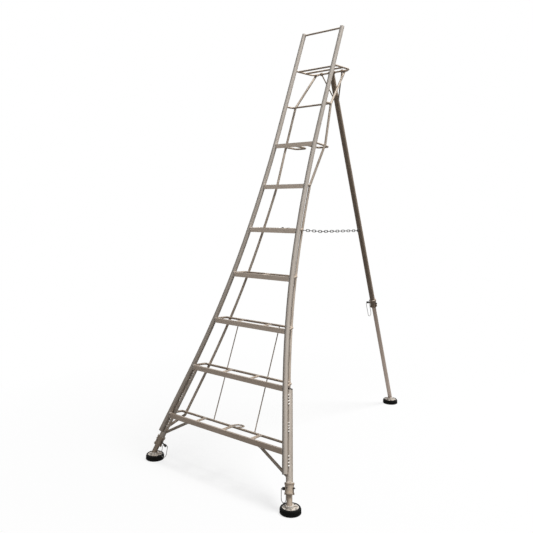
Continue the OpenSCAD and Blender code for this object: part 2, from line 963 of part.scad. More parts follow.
module rear_leg_tube() {
    color("silver")
        rear_frame()
            difference() {
                tube(rear_r, rear_wall, -rear_tube_l, -tube_drop);
                rotate([0, 90, 0])
                    cylinder(h = barrel_l + over, r = barrel_d / 2 + weld_gap, center = true);
            }
}

// Hinge barrel around the platform's rear bar, with a plug that closes the tube
module rear_leg_head() {
    color("gray")
        rear_frame()
            difference() {
                union() {
                    rotate([0, 90, 0])
                        cylinder(h = barrel_l, d = barrel_d, center = true);
                    translate([0, 0, -plug_l])
                        cylinder(h = plug_l, r = rear_r - rear_wall - weld_gap);
                }
                rotate([0, 90, 0])
                    cylinder(h = barrel_l + over, r = bar_r + turn_gap, center = true);
                translate([-rear_d, -rear_d, 0])
                    difference() {
                        cube([2 * rear_d, 2 * rear_d, barrel_d]);
                        translate([0, rear_d, 0])
                            rotate([0, 90, 0])
                                cylinder(h = 2 * rear_d, d = barrel_d);
                    }
            }
}

// Stay with an eye around the platform's rear bar
module leg_stay(side) {
    color("silver")
        on_side(side)
            rear_frame()
                difference() {
                    union() {
                        translate([stay_x, 0, 0])
                            rotate([0, 90, 0])
                                cylinder(h = eye_l, d = barrel_d, center = true);
                        rod([0, 0, -stay_drop], [stay_x, 0, 0], stay_r);
                    }
                    translate([stay_x, 0, 0])
                        rotate([0, 90, 0])
                            cylinder(h = 2 * barrel_d, r = bar_r + turn_gap, center = true);
                    translate([0, 0, -rear_tube_l])
                        cylinder(h = rear_tube_l, r = rear_r + weld_gap);
                }
}

// Collar on the rear tube, with a small spur at its lower rear edge
module rear_leg_collar() {
    color("gray")
        rear_frame()
            translate([0, 0, rear_collar_z]) {
                collar_shape(rear_collar_r, rear_r);
                translate([-spur_w / 2, rear_collar_r, 0])
                    cube([spur_w, spur_l - rim_out, spur_t]);
            }
}

module rear_leg_slide() {
    color("lightgray")
        difference() {
            rear_frame()
                slide_tube(-rear_reach - leg_d, rear_leg_top_z, rear_pin_z, rear_holes);
            translate([0, rear_foot_y + origin_shift, 0])
                below(foot_seat);
        }
}

module rear_leg_bush() {
    color("black")
        rear_frame()
            bush_shape(rear_leg_top_z, rear_r - rear_wall - slide_gap);
}

// Chain

// Plate with a round hole, reaching from a surface to the hole's far rim along y
module eye_plate() {
    rotate([0, 90, 0])
        difference() {
            union() {
                cylinder(h = eye_t, r = eye_out, center = true);
                translate([-eye_out, -eye_out, -eye_t / 2])
                    cube([2 * eye_out, eye_out, eye_t]);
            }
            cylinder(h = 2 * eye_t, r = eye_r, center = true);
        }
}

module chain_eye_front() {
    color("gray")
        difference() {
            translate(front_eye)
                eye_plate();
            translate(front_eye - [eye_t, bar_r + eye_out, 0])
                rotate([0, 90, 0])
                    cylinder(h = 2 * eye_t, r = bar_r + weld_gap);
        }
}

module chain_eye_rear() {
    color("gray")
        rear_frame()
            difference() {
                translate([0, rear_eye_y, -chain_reach])
                    rotate([0, 0, 180])
                        eye_plate();
                translate([0, 0, -chain_reach - eye_out - over])
                    cylinder(h = 2 * (eye_out + over), r = rear_r + weld_gap);
            }
}

// One oval link, lying in the x y plane with its length along y
module chain_link() {
    mid_r = link_w / 2 + chain_r;
    straight = link_pitch + link_gap - link_w;
    for (side = [-1, 1])
        translate([side * mid_r, 0, 0])
            rotate([90, 0, 0])
                cylinder(h = straight + 2 * bend_lap, r = chain_r, center = true);
    for (end = [0, 180])
        rotate([0, 0, end])
            translate([0, straight / 2, 0])
                rotate_extrude(angle = 180)
                    translate([mid_r, 0])
                        circle(r = chain_r - bend_slim);
}

// Links along y from an eye's hole, turned a quarter from one to the next
module chain_run(links) {
    for (k = [0 : links - 1])
        translate([0, chain_start + (k + 0.5) * link_pitch, 0])
            rotate([0, 90 * (k % 2), 0])
                chain_link();
}

module chain_front() {
    color("dimgray")
        translate(front_eye)
            rotate([chain_tilt - front_sag, 0, 0])
                chain_run(front_links);
}

module chain_rear() {
    color("dimgray")
        translate(rear_eye)
            rotate([chain_tilt + rear_sag + 180, 0, 0])
                chain_run(rear_links);
}

stile(-1);  // stile_left
stile(1);  // stile_right
stile_caps();
handrail();
platform_hoop();
platform_bars();
top_rung();
tread_nose(1);  // tread_nose_1
tread_nose(2);  // tread_nose_2
tread_nose(3);  // tread_nose_3
tread_nose(4);  // tread_nose_4
tread_nose(5);  // tread_nose_5
tread_nose(6);  // tread_nose_6
tread_nose(7);  // tread_nose_7
tread_bar(1);  // tread_bar_1
tread_bar(2);  // tread_bar_2
tread_bar(3);  // tread_bar_3
tread_bar(4);  // tread_bar_4
tread_bar(5);  // tread_bar_5
tread_bar(6);  // tread_bar_6
deep_bars();  // tread_bar_7
tread_straps();
rear_rail(-1);  // rear_rail_left
rear_rail(1);  // rear_rail_right
tie_rods();
foot_brace(-1);  // foot_brace_left
foot_brace(1);  // foot_brace_right
leg_catch();
leg_sleeve(-1);  // leg_sleeve_left
leg_sleeve(1);  // leg_sleeve_right
leg_collar(-1);  // leg_collar_left
leg_collar(1);  // leg_collar_right
chain_eye_front();
front_leg(-1);  // front_leg_left
front_leg(1);  // front_leg_right
leg_bush(-1);  // leg_bush_left
leg_bush(1);  // leg_bush_right
foot_plate(-1);  // foot_plate_left
foot_plate(1);  // foot_plate_right
foot_pad(-1);  // foot_pad_left
foot_pad(1);  // foot_pad_right
lock_pin(-1);  // lock_pin_left
lock_pin(1);  // lock_pin_right
lock_pin_rear();
pin_bail(-1);  // pin_bail_left
pin_bail(1);  // pin_bail_right
pin_bail_rear();
rear_leg_tube();
rear_leg_head();
leg_stay(-1);  // leg_stay_left
leg_stay(1);  // leg_stay_right
rear_leg_collar();
chain_eye_rear();
rear_leg_slide();
rear_leg_bush();
foot_plate_rear();
foot_pad_rear();
chain_front();
chain_rear();
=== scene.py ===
import math

import bpy
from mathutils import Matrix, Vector


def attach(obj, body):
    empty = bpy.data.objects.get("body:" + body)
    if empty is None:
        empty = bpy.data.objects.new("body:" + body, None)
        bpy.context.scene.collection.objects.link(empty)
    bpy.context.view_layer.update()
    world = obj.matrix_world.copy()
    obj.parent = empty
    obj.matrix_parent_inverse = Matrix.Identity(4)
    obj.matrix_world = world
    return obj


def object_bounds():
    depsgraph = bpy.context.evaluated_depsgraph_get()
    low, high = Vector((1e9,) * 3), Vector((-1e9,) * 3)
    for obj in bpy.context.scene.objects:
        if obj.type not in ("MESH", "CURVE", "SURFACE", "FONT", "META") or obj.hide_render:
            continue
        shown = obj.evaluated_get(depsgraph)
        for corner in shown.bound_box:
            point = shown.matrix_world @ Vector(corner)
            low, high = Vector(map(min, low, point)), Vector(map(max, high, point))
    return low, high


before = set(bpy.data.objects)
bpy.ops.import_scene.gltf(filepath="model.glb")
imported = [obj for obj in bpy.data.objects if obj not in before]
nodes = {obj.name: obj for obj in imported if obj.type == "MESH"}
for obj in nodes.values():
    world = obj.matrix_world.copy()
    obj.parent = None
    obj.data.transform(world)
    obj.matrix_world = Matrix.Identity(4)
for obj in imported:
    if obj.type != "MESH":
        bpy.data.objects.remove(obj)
cad_box = [[float(v) for v in corner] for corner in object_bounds()]

# Sizes of the ladder, in metres and radians, as the solids have them
MM = 0.001
LEAN = math.radians(22)
REAR_LEAN = math.radians(17.2)
STEP_PITCH, FIRST_STEP = 300 * MM, 283 * MM
PLATED, TIED, CHAINED = 7, 3, 5
STILE_R, TOP_HALF, STILE_FOOT = 15 * MM, 164 * MM, 184 * MM
FLARE_START, FLARE_CHANGE, FLARE_END = 2219 * MM, 1399 * MM, 544 * MM
GENTLE_R, TIGHT_R = 7750 * MM, 4980 * MM
BAR_R, RAIL_R, TIE_R, BRACE_R, CATCH_R = 6.5 * MM, 8 * MM, 3.25 * MM, 8 * MM, 4 * MM
NOSE_H, NOSE_T, NOSE_AHEAD, TOP_LIP = 28 * MM, 2.5 * MM, 7 * MM, 12 * MM
TREAD_DEPTH, ARM_IN = 81 * MM, 22 * MM
DEEP_DEPTH, DEEP_IN, DEEP_DROP, NOTCH_X = 200 * MM, 28.5 * MM, 15 * MM, 47 * MM
STRAP_W, STRAP_STEP, STRAP_COUNTS = 25 * MM, 215 * MM, (3, 2, 2, 1, 1, 1)
PLATFORM_DEPTH, PLATFORM_ARM_IN = 222 * MM, 5 * MM
PLATFORM_BARS = (43 * MM, 126 * MM)
RUNG_ARM_IN, RUNG_RAIL_IN, RAIL_IN, RAIL_DROP = 3 * MM, 14 * MM, 38 * MM, 22 * MM
TIE_X, BRACE_X, BRACE_LOW = 160 * MM, 262 * MM, 14 * MM
CATCH_HALF, CATCH_DEPTH, CATCH_DROP = 24 * MM, 88 * MM, 16 * MM
SLEEVE_R, SLEEVE_OUT, SLEEVE_TOP, SLEEVE_FOOT = 18 * MM, 5 * MM, 584 * MM, 137 * MM
COLLAR_L, COLLAR_WALL, RIM_OUT, SEAT_L = 54 * MM, 5 * MM, 2.5 * MM, 16 * MM
LEG_R, REAR_R, REAR_TUBE_L = 15 * MM, 19 * MM, 1765 * MM
STAY_R, STAY_X, STAY_DROP = 4.5 * MM, 88 * MM, 245 * MM
PIN_RISE, HEAD_R, HEAD_L = 28 * MM, 7 * MM, 13 * MM
PIN_STUBS = {"left": 34 * MM, "right": 10 * MM, "rear": 22 * MM}
PAD_R, PAD_H, PAD_LIP, PLATE_T = 55 * MM, 30 * MM, 6 * MM, 4 * MM
FOOT_SEAT, FOOT_BACK = 40 * MM, 8 * MM
EYE_HALF, EYE_OUT, CHAIN_REACH = 2 * MM, 10.5 * MM, 1186 * MM
CLOSE = 0.05 * MM

# Sizes of the details that only the scene has
RIPPLE_R, RIPPLE_PITCH, RIPPLE_L = 2.1 * MM, 1.8 * MM, 1.3 * MM
FOOT_WELD_OUT, LIP_GAP = 0.6 * MM, 0.7 * MM
STITCH_ROWS = ((0.532, 0.578), (0.396, 0.438), (0.232, 0.278))
STITCH_DROPS, STITCH_R, STITCH_SWING, STITCH_IN = 4, 4.8 * MM, 10.5 * MM, 16.6 * MM
# Painted shade: sizes of the dark strips along the grooves between sleeve and stile
SHADE_STRIP_R, SHADE_STRIP_SWING, SHADE_STRIP_IN = 2.6 * MM, 6.2 * MM, 17.2 * MM
PLUG_H, PLUG_SIDES = 6 * MM, 32
BOLTS, BOLT_RING, BOLT_R, BOLT_H, BOLT_RISE = 4, 35 * MM, 3.6 * MM, 2.8 * MM, 1.2 * MM
PAD_RIBS, PAD_RIB_SIZE = 44, (15 * MM, 2.4 * MM, 2.6 * MM)
PAD_RIB_IN, PAD_RIB_MIDDLE = 1.7 * MM, 13.5 * MM
GRIP_RIBS, GRIP_CLEAR, GRIP_RIB_SIZE = 14, 0.9, (HEAD_L - 2 * MM, 1.4 * MM, 1.2 * MM)
RIVET_R, RIVET_H, RIVET_SHARE = 4 * MM, 1.8 * MM, 0.52


def stile_turn(s):
    """Angle of the stile from straight up the lean, at a height along the lean."""
    if s >= FLARE_START:
        return 0.0
    if s >= FLARE_CHANGE:
        return math.asin((FLARE_START - s) / GENTLE_R)
    change = math.asin((FLARE_START - FLARE_CHANGE) / GENTLE_R)
    centre = FLARE_CHANGE + TIGHT_R * math.sin(change)
    return math.asin((centre - max(s, FLARE_END)) / TIGHT_R)


def stile_x(s):
    """Distance of a stile's axis from the middle."""
    if s >= FLARE_START:
        return TOP_HALF
    if s >= FLARE_CHANGE:
        return TOP_HALF + GENTLE_R * (1 - math.cos(stile_turn(s)))
    change = math.asin((FLARE_START - FLARE_CHANGE) / GENTLE_R)
    centre = TOP_HALF + GENTLE_R * (1 - math.cos(change)) + TIGHT_R * math.cos(change)
    low = max(s, FLARE_END)
    return centre - TIGHT_R * math.cos(stile_turn(low)) + (low - s) * math.tan(stile_turn(low))


SIN_L, COS_L, TAN_L = math.sin(LEAN), math.cos(LEAN), math.tan(LEAN)
FOOT_TURN = stile_turn(0)
LEG_N = math.sqrt((STILE_R + SLEEVE_R + CLOSE) ** 2 - SLEEVE_OUT ** 2)
FOOT_S = (FOOT_SEAT + LEG_N * SIN_L) / COS_L
LEG_END_Y = FOOT_S * SIN_L + LEG_N * COS_L
FOOT_X = stile_x(0) + SLEEVE_OUT / math.cos(FOOT_TURN) - FOOT_S * math.tan(FOOT_TURN)
SHIFT_Y = cad_box[0][1] + PAD_R - LEG_END_Y - FOOT_BACK


def lean_point(x, s, n):
    """A point by its place across, up and behind the leaning plane of the stiles."""
    return Vector((x, s * SIN_L + n * COS_L + SHIFT_Y, s * COS_L - n * SIN_L))


def level_point(x, z, depth):
    """A point at a height, a horizontal depth behind the stile axes."""
    return Vector((x, z * TAN_L + depth + SHIFT_Y, z))


def level_s(i):
    return FIRST_STEP + (i - 1) * STEP_PITCH


def level_z(i):
    return level_s(i) * COS_L


def bar_z(i):
    return level_z(i) + NOSE_H / 2 - BAR_R


HINGE = level_point(0, level_z(PLATED + 2), PLATFORM_DEPTH)
REAR_FOOT = Vector((0, HINGE.y + (HINGE.z - FOOT_SEAT) * math.tan(REAR_LEAN), 0))


def stile_axis(s):
    """A point and direction of the right-hand stile's axis."""
    turn = stile_turn(s)
    way = lean_point(-math.sin(turn), math.cos(turn), 0) - lean_point(0, 0, 0)
    return lean_point(stile_x(s), s, 0), way.normalized()


def leg_point(x, y, t):
    """A point in the right-hand sliding leg's frame: across, back and up the leg."""
    c, s = math.cos(FOOT_TURN), math.sin(FOOT_TURN)
    start = stile_x(0) + SLEEVE_OUT / c
    return lean_point(start + x * c - t * s, x * s + t * c, LEG_N + y)


def rear_point(x, y, z):
    """A point in the rear leg's frame, measured from its hinge."""
    c, s = math.cos(REAR_LEAN), math.sin(REAR_LEAN)
    return HINGE + Vector((x, y * c - z * s, y * s + z * c))


LEG_AXIS = (leg_point(0, 0, 0), leg_point(0, 0, 1) - leg_point(0, 0, 0))
COLLAR_T = SLEEVE_FOOT / math.cos(FOOT_TURN) + SEAT_L - COLLAR_L
REAR_COLLAR_Z = -REAR_TUBE_L + SEAT_L - COLLAR_L


def sided(p, side):
    """A point or direction of the right-hand half, flipped to the left where side is -1."""
    return Vector((side * p.x, p.y, p.z))


def mirrored(points):
    return [sided(p, -1) for p in points]


# Camera, at the photograph's viewing angle
IMAGE_SIDE = 533
FOCAL_PX = 635.5
PRINCIPAL = (252.85, 155.1)
SENSOR = 36.0
CAMERA_PLACE = (2.5681, -2.5444, 1.5239)
CAMERA_RISE, CAMERA_TURN = 4.638, 41.42
camera_data = bpy.data.cameras.new("photo_camera")
camera_data.sensor_width = SENSOR
camera_data.sensor_fit = "HORIZONTAL"
camera_data.lens = FOCAL_PX / IMAGE_SIDE * SENSOR
camera_data.shift_x = 0.5 - PRINCIPAL[0] / IMAGE_SIDE
camera_data.shift_y = PRINCIPAL[1] / IMAGE_SIDE - 0.5
camera_data.clip_end = 200.0
camera = bpy.data.objects.new("photo_camera", camera_data)
camera.location = (CAMERA_PLACE[0], CAMERA_PLACE[1] + SHIFT_Y, CAMERA_PLACE[2])
camera.rotation_euler = (math.radians(90 + CAMERA_RISE), 0, math.radians(CAMERA_TURN))
bpy.context.scene.collection.objects.link(camera)
bpy.context.scene.camera = camera
bpy.context.scene.view_settings.view_transform = "Standard"


# Shader helpers

def shader(name):
    """A new material with only its output and main shader."""
    mat = bpy.data.materials.new(name)
    mat.use_nodes = True
    mat.node_tree.nodes.clear()
    out = mat.node_tree.nodes.new("ShaderNodeOutputMaterial")
    main = mat.node_tree.nodes.new("ShaderNodeBsdfPrincipled")
    mat.node_tree.links.new(main.outputs[0], out.inputs[0])
    return mat, main


def put(mat, kind, sockets=None, **settings):
    """Adds a shader node; sockets holds fixed values or outputs to link from."""
    made = mat.node_tree.nodes.new(kind)
    for key, value in settings.items():
        setattr(made, key, value)
    for key, value in (sockets or {}).items():
        if isinstance(value, bpy.types.NodeSocket):
            mat.node_tree.links.new(value, made.inputs[key])
        else:
            made.inputs[key].default_value = value
    return made


def link(mat, output, socket):
    mat.node_tree.links.new(output, socket)


def noise(mat, vector, scale, detail, rough):
    return put(mat, "ShaderNodeTexNoise",
               {"Vector": vector, "Scale": scale, "Detail": detail, "Roughness": rough}).outputs[0]


def remap(mat, value, low, high, to_low=0.0, to_high=1.0):
    return put(mat, "ShaderNodeMapRange",
               {0: value, 1: low, 2: high, 3: to_low, 4: to_high}).outputs[0]


def mix_colour(mat, factor, first, second):
    made = put(mat, "ShaderNodeMix", data_type="RGBA")
    for index, value in ((0, factor), (6, first), (7, second)):
        if isinstance(value, bpy.types.NodeSocket):
            link(mat, value, made.inputs[index])
        else:
            made.inputs[index].default_value = value + (1.0,)
    return made.outputs[2]


def math_node(mat, operation, a, b):
    return put(mat, "ShaderNodeMath", {0: a, 1: b}, operation=operation).outputs[0]


def object_place(mat):
    return put(mat, "ShaderNodeTexCoord").outputs["Object"]


def facing_up(mat):
    """How far a face points up, on the piece as it stands at rest."""
    normal = put(mat, "ShaderNodeTexCoord").outputs["Normal"]
    return put(mat, "ShaderNodeSeparateXYZ", {0: normal}).outputs[2]


def towards_rim(mat):
    """0 where a face is seen straight on, 1 at the outline."""
    return put(mat, "ShaderNodeLayerWeight", {"Blend": 0.5}).outputs["Facing"]


def scaled(colour, share):
    return tuple(min(1.0, share * c) for c in colour)


def dirt_and_shade_tint(colour, share):
    """A darker brown tint of a colour, for real dirt and for painted shade."""
    return (share * colour[0], 0.85 * share * colour[1], 0.68 * share * colour[2])


def bumped(mat, main, height, strength, distance):
    """Ends a material with its fine relief."""
    bump = put(mat, "ShaderNodeBump", {"Strength": strength, "Distance": distance, "Height": height})
    link(mat, bump.outputs[0], main.inputs["Normal"])
    return mat


def drawn_metal(name, pale, deep, turn, stretch, metal=0.04, under=0.5, edge=0.4, grain=0.5,
                lift=None, shade_at_top=1.0):
    """Drawn or rolled aluminium: streaks along the piece, dull oxide, scratches, painted shade
    underneath and at the outline.

    under, edge and grain are shares of painted shade on faces that point down, of painted shade at the
    outline and of streaks. lift holds two heights and the share by which the metal gets paler between
    them, and the last argument is the share of the painted shade that is left at the upper one.
    """
    mat, main = shader(name)
    place = object_place(mat)
    along = put(mat, "ShaderNodeMapping",
                {"Vector": place, "Rotation": turn, "Scale": stretch}).outputs[0]
    streak = noise(mat, along, 300.0, 4.0, 0.6)
    fine = noise(mat, along, 1300.0, 2.0, 0.5)
    patch = noise(mat, place, 7.0, 4.0, 0.55)
    mottle = noise(mat, place, 45.0, 4.0, 0.6)
    tone = math_node(mat, "ADD", remap(mat, streak, 0.32, 0.7, 0.0, grain),
                     remap(mat, patch, 0.35, 0.68, 0.0, 1.0 - grain))
    # painted shade: darker on faces that point sideways or down
    below = remap(mat, facing_up(mat), 0.35, -0.3, 0.0, under)
    # painted shade: darker towards the outline of each piece
    rim = remap(mat, towards_rim(mat), 0.04, 0.55, 0.0, edge)
    if lift:
        low, high, share = lift
        height_z = put(mat, "ShaderNodeSeparateXYZ", {0: place}).outputs[2]
        tone = math_node(mat, "ADD", math_node(mat, "MULTIPLY", tone, 1.0 - share),
                         remap(mat, height_z, low, high, 0.0, share))
        # the painted shade below and at the outline fades towards the upper height
        shade_kept = remap(mat, height_z, low, high, 1.0, shade_at_top)
        below = math_node(mat, "MULTIPLY", below, shade_kept)
        rim = math_node(mat, "MULTIPLY", rim, shade_kept)
    base = mix_colour(mat, tone, deep, pale)
    aged = mix_colour(mat, remap(mat, mottle, 0.54, 0.78, 0.0, 0.14), base, dirt_and_shade_tint(deep, 0.6))
    # painted shade below, then painted shade at the outline, mixed into the colour
    shaded_below = mix_colour(mat, below, aged, dirt_and_shade_tint(deep, 0.45))
    rimmed = mix_colour(mat, rim, shaded_below, dirt_and_shade_tint(deep, 0.4))
    worn = mix_colour(mat, remap(mat, fine, 0.66, 0.74, 0.0, 0.3), rimmed, scaled(pale, 1.12))
    link(mat, worn, main.inputs["Base Color"])
    main.inputs["Metallic"].default_value = metal
    main.inputs["Specular IOR Level"].default_value = 0.12
    dulling = math_node(mat, "ADD", remap(mat, patch, 0.3, 0.7, 0.0, 0.6),
                        remap(mat, streak, 0.3, 0.7, 0.0, 0.4))
    link(mat, remap(mat, dulling, 0.0, 1.0, 0.36, 0.55), main.inputs["Roughness"])
    height = math_node(mat, "ADD", streak, math_node(mat, "MULTIPLY", mottle, 0.2))
    return bumped(mat, main, height, 0.28 * grain, 0.0003)


def zinc_metal(name, pale, deep, gloss):
    """Zinc-plated steel with a faint crystal pattern, handling wear and painted shade at the outline.
    """
    mat, main = shader(name)
    place = object_place(mat)
    crystal = put(mat, "ShaderNodeTexVoronoi", {"Vector": place, "Scale": 520.0}).outputs["Color"]
    shade = put(mat, "ShaderNodeSeparateColor", {0: crystal}).outputs[0]
    patch = noise(mat, place, 60.0, 4.0, 0.6)
    tone = math_node(mat, "ADD", remap(mat, shade, 0.0, 1.0, 0.0, 0.4),
                     remap(mat, patch, 0.35, 0.7, 0.0, 0.6))
    base = mix_colour(mat, tone, deep, pale)
    # painted shade: darker towards the outline
    rimmed = mix_colour(mat, remap(mat, towards_rim(mat), 0.4, 0.95, 0.0, 0.6), base, scaled(deep, 0.4))
    link(mat, rimmed, main.inputs["Base Color"])
    main.inputs["Metallic"].default_value = 0.2
    main.inputs["Specular IOR Level"].default_value = 0.25
    link(mat, remap(mat, patch, 0.3, 0.7, gloss[0], gloss[1]), main.inputs["Roughness"])
    return bumped(mat, main, patch, 0.12, 0.0003)


def black_rubber(name, dark, dusty):
    """Moulded rubber with a grainy skin and dust on what faces up."""
    mat, main = shader(name)
    place = object_place(mat)
    grain = noise(mat, place, 900.0, 3.0, 0.6)
    cloud = noise(mat, place, 55.0, 5.0, 0.65)
    dust = math_node(mat, "MULTIPLY", remap(mat, facing_up(mat), 0.0, 1.0, 0.15, 1.0),
                     remap(mat, cloud, 0.42, 0.72, 0.0, 0.7))
    link(mat, mix_colour(mat, dust, dark, dusty), main.inputs["Base Color"])
    main.inputs["Specular IOR Level"].default_value = 0.12
    link(mat, remap(mat, cloud, 0.3, 0.7, 0.55, 0.85), main.inputs["Roughness"])
    return bumped(mat, main, grain, 0.35, 0.0006)


def cast_bead(name, pale, deep, metal):
    """Weld metal or rough casting: bright crests, sooty valleys, painted shade on faces that point
    down.
    """
    mat, main = shader(name)
    place = object_place(mat)
    soot = noise(mat, place, 240.0, 4.0, 0.65)
    broad = noise(mat, place, 40.0, 3.0, 0.6)
    tone = math_node(mat, "ADD", remap(mat, soot, 0.35, 0.65, 0.0, 0.6),
                     remap(mat, broad, 0.35, 0.65, 0.0, 0.4))
    base = mix_colour(mat, tone, deep, pale)
    # painted shade: darker on faces that point down
    shaded_below = mix_colour(mat, remap(mat, facing_up(mat), 0.1, -0.8, 0.0, 0.55), base, scaled(deep, 0.45))
    link(mat, shaded_below, main.inputs["Base Color"])
    main.inputs["Metallic"].default_value = metal
    link(mat, remap(mat, soot, 0.3, 0.7, 0.52, 0.34), main.inputs["Roughness"])
    return bumped(mat, main, soot, 0.2, 0.0003)


ALONG_Z = (1.0, 1.0, 0.02)
ALONG_X = (0.02, 1.0, 1.0)
UP_THE_LEAN, DOWN_THE_LEG, LEVEL = (LEAN, 0, 0), (-REAR_LEAN, 0, 0), (0, 0, 0)
stile_metal = drawn_metal("stile_aluminium", (1.0, 0.92, 0.835), (0.71, 0.62, 0.535),
    UP_THE_LEAN, ALONG_Z, lift=(0.3, 2.4, 0.6), shade_at_top=0.5)
nose_metal = drawn_metal("front_plate_aluminium", (0.87, 0.755, 0.645), (0.355, 0.283, 0.226),
    LEVEL, ALONG_X, metal=0.46, edge=0.0, lift=(0.2, 1.5, 0.65))
bar_metal = drawn_metal("bar_aluminium", (0.90, 0.765, 0.63), (0.62, 0.505, 0.40),
    LEVEL, ALONG_X, metal=0.08, under=0.4, edge=0.2, grain=0.15, lift=(0.9, 2.7, 0.45), shade_at_top=0.3)
rail_metal = drawn_metal("rail_aluminium", (0.92, 0.80, 0.68), (0.65, 0.545, 0.445),
    UP_THE_LEAN, ALONG_Z, metal=0.08, under=0.3, edge=0.2, grain=0.15)
sleeve_metal = drawn_metal("sleeve_aluminium", (0.84, 0.755, 0.67), (0.56, 0.49, 0.42),
    UP_THE_LEAN, ALONG_Z, metal=0.24, under=0.25, edge=0.55)
leg_metal = drawn_metal("leg_aluminium", (0.82, 0.69, 0.56), (0.58, 0.465, 0.36),
    UP_THE_LEAN, ALONG_Z, metal=0.14, under=0.36)
rear_metal = drawn_metal("rear_leg_aluminium", (0.68, 0.55, 0.435), (0.47, 0.37, 0.285),
    DOWN_THE_LEG, ALONG_Z, metal=0.1, under=0.35, edge=0.2)
slide_metal = drawn_metal("slide_aluminium", (0.95, 0.80, 0.70), (0.46, 0.37, 0.305),
    DOWN_THE_LEG, ALONG_Z, metal=0.42, under=0.2, edge=0.3, lift=(0.75, 0.1, 0.7))
foot_metal = cast_bead("foot_casting", (0.84, 0.785, 0.72), (0.54, 0.485, 0.425), 0.3)
zinc = zinc_metal("zinc_steel", (0.09, 0.083, 0.074), (0.035, 0.032, 0.028), (0.3, 0.48))
wire_steel = zinc_metal("bright_wire", (0.27, 0.25, 0.225), (0.13, 0.12, 0.105), (0.24, 0.4))
rubber = black_rubber("foot_rubber", (0.005, 0.005, 0.005), (0.03, 0.028, 0.025))
plug_plastic = black_rubber("plug_plastic", (0.03, 0.03, 0.03), (0.09, 0.088, 0.085))
stitch_metal = cast_bead("stitch_aluminium", (0.95, 0.93, 0.90), (0.78, 0.75, 0.71), 0.5)
# painted shade for the dark strips in the grooves
groove_shade_paint = black_rubber("groove_shade_paint", (0.15, 0.118, 0.09), (0.22, 0.18, 0.14))
weld_metal = cast_bead("weld_aluminium", (0.86, 0.82, 0.77), (0.52, 0.47, 0.42), 0.35)


def finish_for(node):
    """The finish of each CAD node."""
    if node.startswith("foot_pad"):
        return rubber
    if "bush" in node:
        return plug_plastic
    if node.startswith(("chain", "lock_pin")):
        return zinc
    if node.startswith("pin_bail"):
        return wire_steel
    if node.startswith(("foot_plate", "stile_caps")):
        return foot_metal
    if node == "rear_leg_slide":
        return slide_metal
    if node.startswith(("rear_leg", "leg_stay")):
        return rear_metal
    if node.startswith("leg_sleeve"):
        return sleeve_metal
    if node.startswith(("leg_collar", "front_leg")):
        return leg_metal
    if node.startswith(("rear_rail", "tie_rods", "foot_brace")):
        return rail_metal
    if node.startswith("stile"):
        return stile_metal
    if node.startswith("tread_nose"):
        return nose_metal
    return bar_metal


for name, node in nodes.items():
    node.data.materials.clear()
    node.data.materials.append(finish_for(name))


# Geometry Nodes: beads of weld along seams, and small shapes set on spots

def new_tree(name, sockets):
    tree = bpy.data.node_groups.new(name, "GeometryNodeTree")
    for label, kind in sockets:
        tree.interface.new_socket(label, in_out="INPUT", socket_type="NodeSocket" + kind)
    tree.interface.new_socket("Made", in_out="OUTPUT", socket_type="NodeSocketGeometry")
    return tree, tree.nodes.new("NodeGroupInput"), tree.nodes.new("NodeGroupOutput")


def finish_tree(tree, start, end, instances, smooth):
    """Makes the instances real, shades them and gives them their metal."""
    real = tree.nodes.new("GeometryNodeRealizeInstances")
    shade = tree.nodes.new("GeometryNodeSetShadeSmooth")
    shade.inputs["Shade Smooth"].default_value = smooth
    paint = tree.nodes.new("GeometryNodeSetMaterial")
    tree.links.new(instances, real.inputs[0])
    tree.links.new(real.outputs[0], shade.inputs[0])
    tree.links.new(shade.outputs[0], paint.inputs["Geometry"])
    tree.links.new(start.outputs["Metal"], paint.inputs["Material"])
    tree.links.new(paint.outputs[0], end.inputs[0])


def weld_tree():
    """Overlapping ripples along every edge of the seam mesh."""
    tree, start, end = new_tree("weld_ripples", (("Seams", "Geometry"), ("Ripple radius", "Float"),
                                                 ("Ripple pitch", "Float"), ("Ripple length", "Float"),
                                                 ("Metal", "Material")))
    made, join = tree.nodes.new, tree.links.new
    curve = made("GeometryNodeMeshToCurve")
    steps = made("GeometryNodeResampleCurve")
    steps.mode = "LENGTH"
    ball = made("GeometryNodeMeshUVSphere")
    ball.inputs["Segments"].default_value = 8
    ball.inputs["Rings"].default_value = 5
    ball.inputs["Radius"].default_value = 1.0
    tangent = made("GeometryNodeInputTangent")
    aim = made("FunctionNodeAlignRotationToVector")
    aim.axis = "Z"
    size = made("ShaderNodeCombineXYZ")
    vary = made("FunctionNodeRandomValue")
    vary.inputs[2].default_value = 0.84
    vary.inputs[3].default_value = 1.16
    vary.inputs["Seed"].default_value = 7
    grow = made("ShaderNodeVectorMath")
    grow.operation = "SCALE"
    place = made("GeometryNodeInstanceOnPoints")
    join(start.outputs["Seams"], curve.inputs["Mesh"])
    join(curve.outputs["Curve"], steps.inputs["Curve"])
    join(start.outputs["Ripple pitch"], steps.inputs["Length"])
    join(steps.outputs["Curve"], place.inputs["Points"])
    join(ball.outputs["Mesh"], place.inputs["Instance"])
    join(tangent.outputs[0], aim.inputs["Vector"])
    join(aim.outputs[0], place.inputs["Rotation"])
    join(start.outputs["Ripple radius"], size.inputs[0])
    join(start.outputs["Ripple radius"], size.inputs[1])
    join(start.outputs["Ripple length"], size.inputs[2])
    join(size.outputs[0], grow.inputs[0])
    join(vary.outputs[1], grow.inputs["Scale"])
    join(grow.outputs[0], place.inputs["Scale"])
    finish_tree(tree, start, end, place.outputs[0], True)
    return tree


